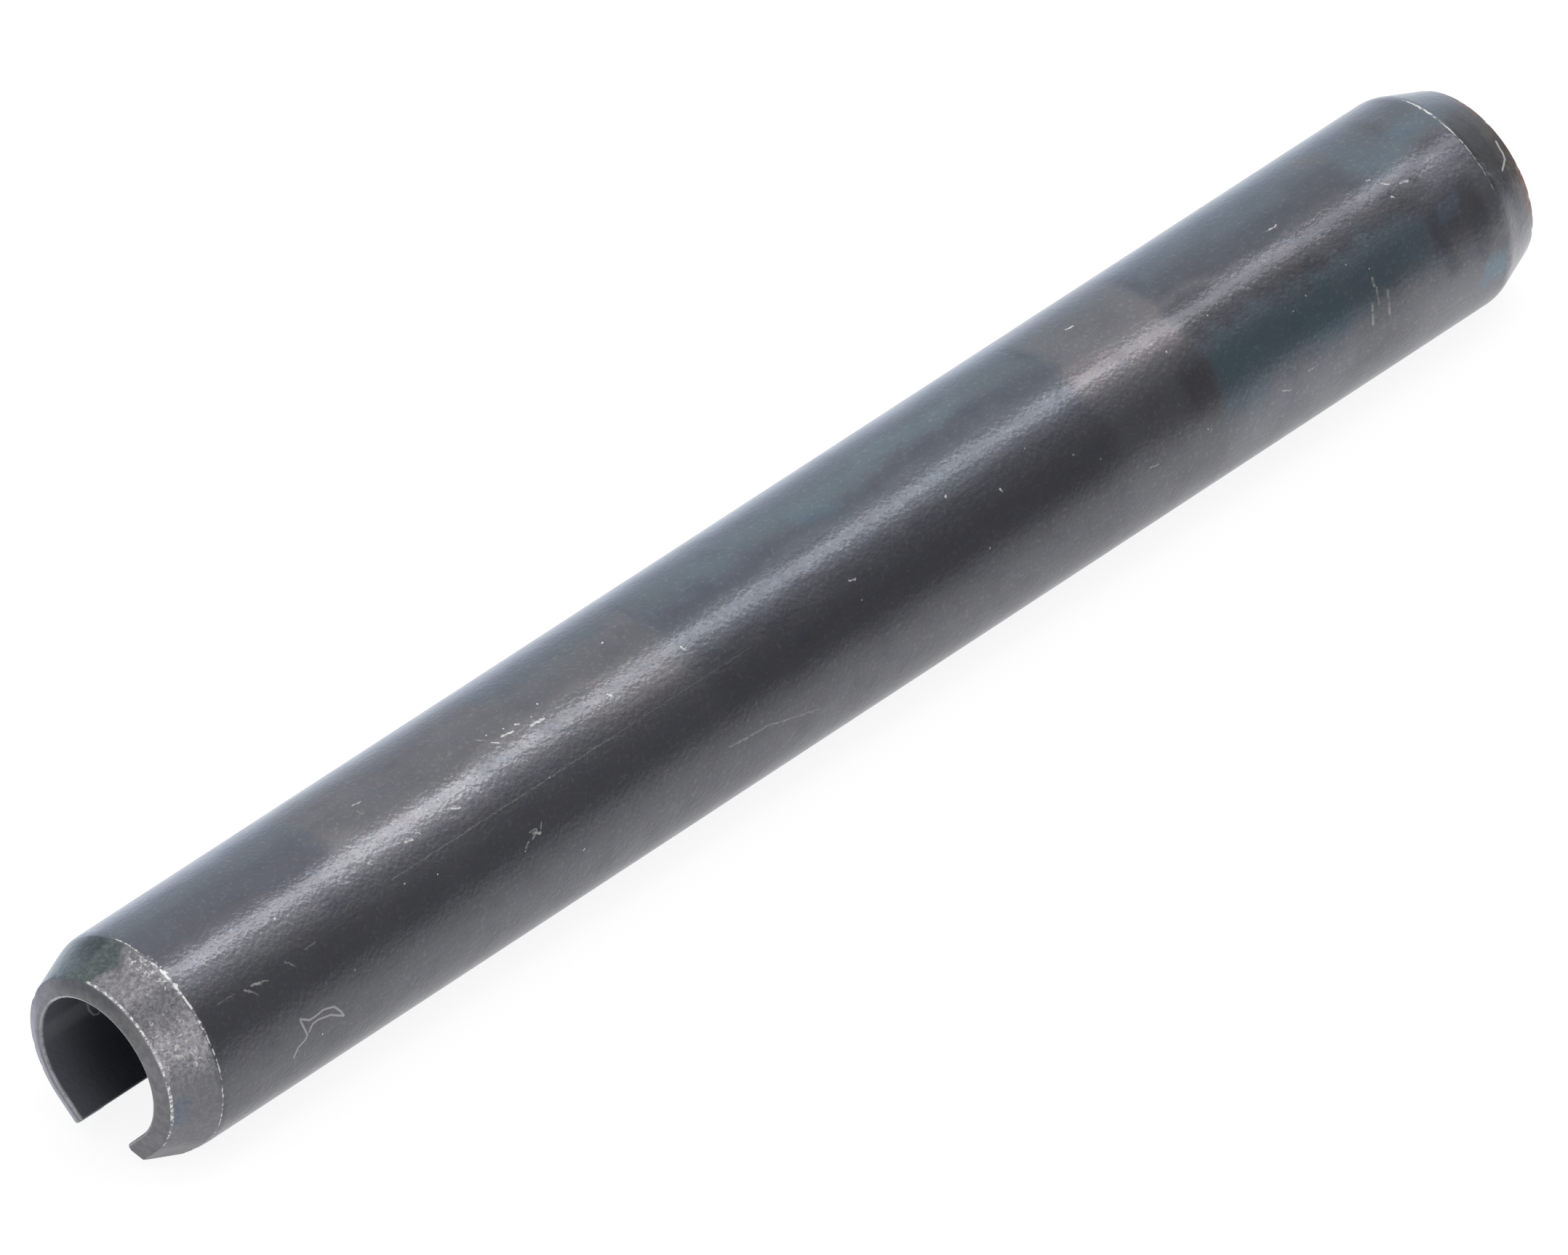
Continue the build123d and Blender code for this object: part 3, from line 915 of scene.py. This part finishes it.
def filmed_chamfer_tone(g, at):
    """The near chamfer's film: blue-green, brushed, and dim in one place by the shoulder."""
    s = at.s_drift
    brushed = g.noise(at.stretched(g, *BRUSH_STRETCH), *BRUSHING)
    tone = g.mix(past(g, s, 30, 4), *GREEN_TONES)
    tone = g.tint(g.step(brushed, 0.38, 0.66), tone, BRUSHED_TINT)
    by_shoulder = g.step(at.along, SHOULDER_X + 1.5, SHOULDER_X + 0.5)
    return g.tint(g.mul(sector(g, s, 12, 32, 8), by_shoulder), tone, DIM_TINT)


def rubbed_chamfer_tone(g, at):
    """The rubbed chamfer: mottled violet grey, calmer towards the lip."""
    s = at.s_drift
    mottle = g.noise(at.place, *CHAMFER_MOTTLE)
    tone = g.mix(g.step(mottle, 0.34, 0.68), *WORN_TONES)
    tone = g.tint(sector(g, s, -45, -27, 10), tone, (0.72, 0.72, 0.73))
    tone = g.tint(sector(g, s, -67, -49, 11), tone, (1.38, 1.38, 1.39))
    tone = g.mix(g.mul(at.calm, CALM_COVER), tone, CALM_TONE)
    by_rim = g.step(at.along, SHOULDER_X + 0.9, SHOULDER_X + 1.5)
    tone = g.tint(g.mul(sector(g, s, -110, -90, 9), by_rim), tone, (0.80, 0.90, 1.02))
    return g.tint(past(g, s, -112, -132), tone, (0.80, 0.80, 0.80))


def region_colours(g, at):
    """The film, and over it the bore, the end faces and the near chamfer."""
    colour = g.mix(at.in_bore, film_colour(g, at), bore_tone_and_shade(g, at))
    colour = g.mix(at.on_face, colour, end_face_tone_and_painted_light(g, at))
    colour = g.mix(at.filmed, colour, filmed_chamfer_tone(g, at))
    return g.mix(g.mul(at.rubbed, RUBBED_COVER), colour, rubbed_chamfer_tone(g, at))


def flat_point(x, degrees):
    """A point of the unrolled surface."""
    return Vector((x, unrolled(degrees), 0.0))


def line_marks(g, flat, marks):
    """All the straight marks given, as one mask."""
    total = 0.0
    for x0, a0, x1, a1, width, strength in marks:
        line = line_mask(g, flat, flat_point(x0, a0), flat_point(x1, a1), width, strength)
        total = g.either(total, line)
    return total


def scratches(g, flat):
    """The scratches and specks, as one mask."""
    total = line_marks(g, flat, SCRATCHES)
    for x, a, size in SPECKS:
        total = g.either(total, dot_mask(g, flat, flat_point(x, a), size, 1.0))
    return total


def scratch_mask(g, at):
    """The scratches, made a little crooked by the grain and broken by the ragged noise."""
    wobble = g.mul(g.sub(at.grain, 0.5), SCRATCH_WOBBLE)
    flat = g.vector(g.add(at.x, wobble), g.add(at.s, wobble), 0.0)
    whole = grouped(g, "scratches", {"flat": flat}, "NodeSocketFloat", scratches)
    return g.mul(whole, g.step(at.ragged, *BREAKS))


def fibre_mask(g, flat, bends, width, strength):
    """A fibre that runs through its bends."""
    pairs = zip(bends, bends[1:])
    return line_marks(g, flat, [(*start, *end, width, strength) for start, end in pairs])


def outer_lint(g, flat):
    flank = fibre_mask(g, flat, FLANK_FIBRE, *FLANK_LINT)
    return g.either(flank, fibre_mask(g, flat, FAR_FIBRE, *FAR_LINT))


def bore_lint(g, flat):
    return fibre_mask(g, flat, BORE_FIBRE, *BORE_LINT)


def lint_mask(g, at):
    """The fibres on the outside, and the one in the bore's mouth."""
    flat = g.vector(at.x, at.s, 0.0)
    outer = grouped(g, "outer_lint", {"flat": flat}, "NodeSocketFloat", outer_lint)
    inner = grouped(g, "bore_lint", {"flat": flat}, "NodeSocketFloat", bore_lint)
    return g.either(g.mul(outer, at.outside), g.mul(inner, at.in_bore))


def worn_lines(g, at):
    """The worn stretches of the shoulders and rims, broken into dashes, as one mask."""
    wander = g.mul(g.sub(g.noise(at.place, *WANDER), 0.5), EDGE_WANDER)
    rim_x, rim_r = RIM_LINE
    away = {
        "shoulder": g.size(g.add(g.sub(at.along, SHOULDER_X), wander)),
        "rim": g.add(g.size(g.sub(at.along, rim_x)), g.size(g.sub(at.radius, rim_r))),
    }
    total = 0.0
    for end, edge, a0, a1, soft, half_width, share, strength in EDGE_WEAR:
        line = g.invert(g.step(away[edge], half_width * LINE_CORE, half_width))
        here = g.mul(sector(g, at.s, a0, a1, soft), g.step(g.mul(at.x, end), 0.0, 1.0))
        threshold = 0.5 + (0.5 - share) * SHARE_SPREAD
        broken = g.step(at.ragged, threshold - BREAK_EDGE, threshold + BREAK_EDGE)
        total = g.either(total, g.mul(g.mul(line, here), g.mul(broken, strength)))
    return total


def worn_edges_and_painted_highlight(g, at):
    """The shoulders and rims where they are worn bright in beads, and the bore's thin bright edge: worn
    bare, with a painted highlight that is strongest over the top.
    """
    beads = g.noise(g.vector(0.0, at.s, at.x), *BEADS)
    worn = g.mul(worn_lines(g, at), at.outside)
    worn = g.mul(worn, g.step(beads, *BEADING))
    bore_edge_highlight = g.mul(g.step(at.along, *BORE_EDGE_X), g.invert(g.step(at.radius, *BORE_EDGE_R)))
    # painted highlight: the bore's edge brightest over the top
    upper = sector(g, at.s, *BORE_EDGE_HIGHLIGHT)
    bore_edge_highlight = g.mul(bore_edge_highlight, g.add(g.mul(upper, 0.45), 0.2))
    return g.either(worn, g.mul(bore_edge_highlight, g.step(at.ragged, *BREAKS)))


def chip_mask(g, at):
    """Chips in the rubbed chamfer, thickest at its middle and by the shoulder."""
    by_shoulder = g.step(at.along, SHOULDER_X + 0.9, SHOULDER_X + 0.3)
    crowd = g.either(sector(g, at.s, -74, -47, 12),
                     g.mul(sector(g, at.s, -32, -4, 10), by_shoulder))
    level = g.sub(CHIP_LEVEL, g.mul(crowd, CHIP_LEVEL - CROWDED_LEVEL))
    chipped = g.step(g.sub(g.noise(at.place, *CHIPS), level), *CHIP_EDGE)
    return g.mul(g.mul(at.rubbed, chipped), g.sub(1.0, g.mul(at.calm, 0.9)))


def dust_mask(g, place, scale, share, size):
    """Tiny dots: one in some of the cells of a grid."""
    cells = g.node("ShaderNodeTexVoronoi", {"Vector": place, "Scale": scale}, feature="F1")
    chance = g.split(cells.outputs["Color"])[0]
    near = g.invert(g.step(cells.outputs["Distance"], size * 0.5, size))
    return g.mul(near, g.math("GREATER_THAN", chance, 1.0 - share))


def roughness(g, at, bright):
    """Cloudy, and higher on the scuffs, the bare marks, the worn regions and in the bore."""
    rough = g.step(at.cloud, 0.3, 0.7, *FILM_ROUGHNESS)
    for *place, more in SCUFFS:
        rough = g.add(rough, g.mul(patch(g, at.x_drift, at.s_drift, place), more))
    rough = g.add(rough, g.mul(bright, BRIGHT_ROUGHER))
    rough = g.add(rough, g.mul(g.either(at.rubbed, at.on_face), WORN_ROUGHER))
    return g.add(rough, g.mul(at.in_bore, BORE_ROUGHER))


def bump(g, size, height):
    """A bump node, whose size is its strength and its height in millimetres."""
    strength, reach = size
    return g.node("ShaderNodeBump", {"Strength": strength, "Distance": reach * MM, "Height": height})


def bumps(g, at):
    """Small pits, deeper on the rubbed chamfer and at the near end, on long low waves."""
    rugged = g.add(g.mul(at.rubbed, RUBBED_DEEPER), 1.0)
    rugged = g.add(rugged, g.mul(g.step(at.x, *NEAR_FADE), NEAR_DEEPER))
    pitted = bump(g, PIT_BUMP, g.mul(g.noise(at.place, *PITS), rugged))
    wavy = bump(g, WAVE_BUMP, g.noise(at.place, *WAVES))
    g.put(wavy.inputs["Normal"], pitted.outputs[0])
    return wavy.outputs[0]


def blued_steel():
    """The pin's one material."""
    material, g = new_material("blued_spring_steel")
    at = Surface(g)
    edge = worn_edges_and_painted_highlight(g, at)
    scratched = scratch_mask(g, at)
    dust = dust_mask(g, at.place, *DUST)
    bright = g.either(g.either(edge, scratched), g.either(g.mul(dust, DUST_COVER), chip_mask(g, at)))
    # Painted glints: burrs and deep nicks have facets that face all ways, so their shine is drawn as an
    # even near-white that is not metal
    burr_glint = g.either(g.mul(edge, EDGE_GLINT), g.mul(g.mul(scratched, scratched), SCRATCH_GLINT))
    lint = lint_mask(g, at)

    colour = g.mix(g.mul(bright, BRIGHT_COVER), region_colours(g, at), BARE)
    colour = g.mix(burr_glint, colour, BURR_GLINT)
    colour = g.mix(lint, colour, LINT)
    not_metal = g.either(g.mul(at.in_bore, OXIDE_DULL), g.either(g.mul(lint, LINT_DULL), burr_glint))
    shader = g.node("ShaderNodeBsdfPrincipled", {
        "Base Color": colour,
        "Metallic": g.sub(1.0, not_metal),
        "Roughness": roughness(g, at, bright),
        # painted reflection colour: reflections bluish over the upper side
        "Specular Tint": g.mix(past(g, at.s, *PAINTED_REFLECTION_BORDER), *PAINTED_REFLECTION_TINTS),
        "Coat Weight": COAT_WEIGHT,
        "Coat Roughness": COAT_ROUGHNESS,
        "Normal": bumps(g, at),
    })
    g.output(shader)
    return material


# ---------------------------------------------------------------- studio

FLOOR_REACH = 4.0  # metres from the middle to each side
FLOOR_GREY = (0.8, 0.8, 0.8)  # what the pin is lit by
FLOOR_GLOW = (0.57, 0.88)  # in a reflection, and to the camera
FLOOR_SHADED = ((0.55, 0.55, 0.55), (0.20, 0.20, 0.20))  # the part that takes shadows, likewise
ROOM_GLOW = (0.75, 1.0)  # as light, and where it is seen

# The grey card, in metres, and the brightnesses that it fades between
CARD_LEFT, CARD_RIGHT = -1.6, 2.2
CARD_TOP = 2.2
CARD_BACK, CARD_FRONT = -0.8, -0.0045
CARD_LIFT = 0.0002
CARD_FOOT, CARD_DARK = 0.56, 0.32  # what its light foot adds to the dark
CARD_FADE, CARD_FADE_POWER = 0.0135, 1.5  # how far from the pin the foot fades
CARD_HEIGHTS = (0.30, 1.9, 0.325, 0.95)  # from and to, and the brightnesses there
CARD_END = -0.034
CARD_ASIDE = (0.42, -0.05, 0.0, 0.95)  # likewise, of the slope towards -X from the card's end

# The softbox: metres, and brightness
BOX_LENGTH, BOX_WIDTH = 0.9, 0.132
BOX_RADIANCE = 1.90
BOX_HEIGHT, BOX_ALONG = 0.6, 0.38
BOX_TILT = math.radians(-9.2)


def shows_background(g):
    """1 for the rays that see the white background: camera, glossy and transmission."""
    path = g.node("ShaderNodeLightPath")
    seen = g.either(path.outputs["Is Camera Ray"], path.outputs["Is Glossy Ray"])
    return g.either(seen, path.outputs["Is Transmission Ray"])


def build_floor(level):
    """A pale table. It looks white, and keeps a soft shadow round the pin."""
    corners = [(-1, -1), (1, -1), (1, 1), (-1, 1)]
    mesh = bpy.data.meshes.new("table")
    mesh.from_pydata([(x * FLOOR_REACH, y * FLOOR_REACH, level) for x, y in corners], [], [(0, 1, 2, 3)])
    floor = link_object("table", mesh)
    material, g = new_material("white_table")
    plain = g.node("ShaderNodeBsdfDiffuse", {"Color": (*FLOOR_GREY, 1.0)})
    seen = g.node("ShaderNodeLightPath").outputs["Is Camera Ray"]
    glow = g.step(seen, 0.0, 1.0, *FLOOR_GLOW)
    white = g.node("ShaderNodeEmission", {"Color": (1, 1, 1, 1), "Strength": glow})
    shaded = g.node("ShaderNodeBsdfDiffuse", {"Color": g.mix(seen, *FLOOR_SHADED)})
    both = g.node("ShaderNodeAddShader", {0: white.outputs[0], 1: shaded.outputs[0]})
    choice = g.node("ShaderNodeMixShader", {
        0: shows_background(g), 1: plain.outputs[0], 2: both.outputs[0]})
    g.output(choice)
    mesh.materials.append(material)


def card_tone(g):
    """The card's brightness: lightest by the pin's foot, high up and past the pin's near end."""
    where = g.node("ShaderNodeTexCoord").outputs["Object"]
    along, across, height = g.split(where)
    away = g.math("POWER", g.divide(g.sub(-OUTER * MM, across), CARD_FADE), CARD_FADE_POWER)
    foot_tone = g.add(g.divide(CARD_FOOT, g.add(away, 1.0)), CARD_DARK)
    slope = g.divide(g.add(along, -CARD_END), g.sub(0.0, across))
    tone = g.either(g.step(height, *CARD_HEIGHTS), foot_tone)
    return g.either(tone, g.step(slope, *CARD_ASIDE))


def build_flag(level):
    """A grey card in front of the pin, which draws the dark band along its flank."""
    foot = level + CARD_LIFT
    mesh = bpy.data.meshes.new("grey_card")
    mesh.from_pydata([
        (CARD_LEFT, CARD_FRONT, foot), (CARD_RIGHT, CARD_FRONT, foot),
        (CARD_RIGHT, CARD_BACK, foot), (CARD_LEFT, CARD_BACK, foot),
        (CARD_RIGHT, CARD_BACK, CARD_TOP), (CARD_LEFT, CARD_BACK, CARD_TOP),
    ], [], [(0, 1, 2, 3), (3, 2, 4, 5)])
    flag = link_object("grey_card", mesh)
    material, g = new_material("grey_card")
    g.output(g.node("ShaderNodeEmission", {"Strength": card_tone(g)}))
    mesh.materials.append(material)
    flag.visible_camera = False
    flag.visible_shadow = False
    flag.visible_diffuse = False


def build_world():
    """A white room."""
    world = bpy.data.worlds.new("studio")
    bpy.context.scene.world = world
    world.use_nodes = True
    world.node_tree.nodes.clear()
    g = Graph(world.node_tree)
    dim, full = ROOM_GLOW
    strength = g.add(g.mul(shows_background(g), full - dim), dim)
    back = g.node("ShaderNodeBackground", {"Color": (1, 1, 1, 1), "Strength": strength})
    g.output(back, "ShaderNodeOutputWorld")


def build_strip_light():
    """A long softbox over the pin, which draws the bright streak along it."""
    data = bpy.data.lights.new("strip_softbox", "AREA")
    data.shape = "RECTANGLE"
    data.size, data.size_y = BOX_LENGTH, BOX_WIDTH
    data.energy = BOX_RADIANCE * math.pi * BOX_LENGTH * BOX_WIDTH
    light = link_object("strip_softbox", data)
    light.location = (BOX_ALONG, BOX_HEIGHT * math.tan(BOX_TILT), BOX_HEIGHT)
    light.rotation_euler = (-BOX_TILT, 0.0, 0.0)


# ---------------------------------------------------------------- camera

FRAME_WIDTH = 2156
SENSOR = 36.0
AZIMUTH, ELEVATION = -44.854, 40.928
PIN_TURN = 6.755  # the photo's pin is turned round its axis, so the camera goes round it
DISTANCE = 1.24593
LENS = 789.3
OFFSET = (10.37, -15.77)  # of the pin's middle from the middle of the picture, in pixels
CLIP = (0.01, 20.0)


def build_camera():
    a, e = math.radians(AZIMUTH), math.radians(ELEVATION)
    back = Vector((math.sin(a) * math.cos(e), -math.cos(a) * math.cos(e), math.sin(e)))
    right = Vector((math.cos(a), math.sin(a), 0.0))
    turn = Matrix.Rotation(math.radians(PIN_TURN), 3, "X")
    back, right = turn @ back, turn @ right
    up = back.cross(right)
    data = bpy.data.cameras.new("camera")
    data.sensor_width = SENSOR
    data.lens = LENS
    data.shift_x = -OFFSET[0] / FRAME_WIDTH
    data.shift_y = OFFSET[1] / FRAME_WIDTH
    data.clip_start, data.clip_end = CLIP
    camera = link_object("camera", data)
    axes = Matrix((right, up, back)).transposed()
    camera.matrix_world = Matrix.Translation(back * DISTANCE) @ axes.to_4x4()
    bpy.context.scene.camera = camera


# ---------------------------------------------------------------- assembly

pin = build_pin()
pin.data.materials.append(blued_steel())
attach(pin, "root")
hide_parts("spring_pin")

build_floor(cad_low.z)
build_flag(cad_low.z)
build_world()
build_strip_light()
build_camera()
bpy.context.scene.view_settings.view_transform = "Standard"
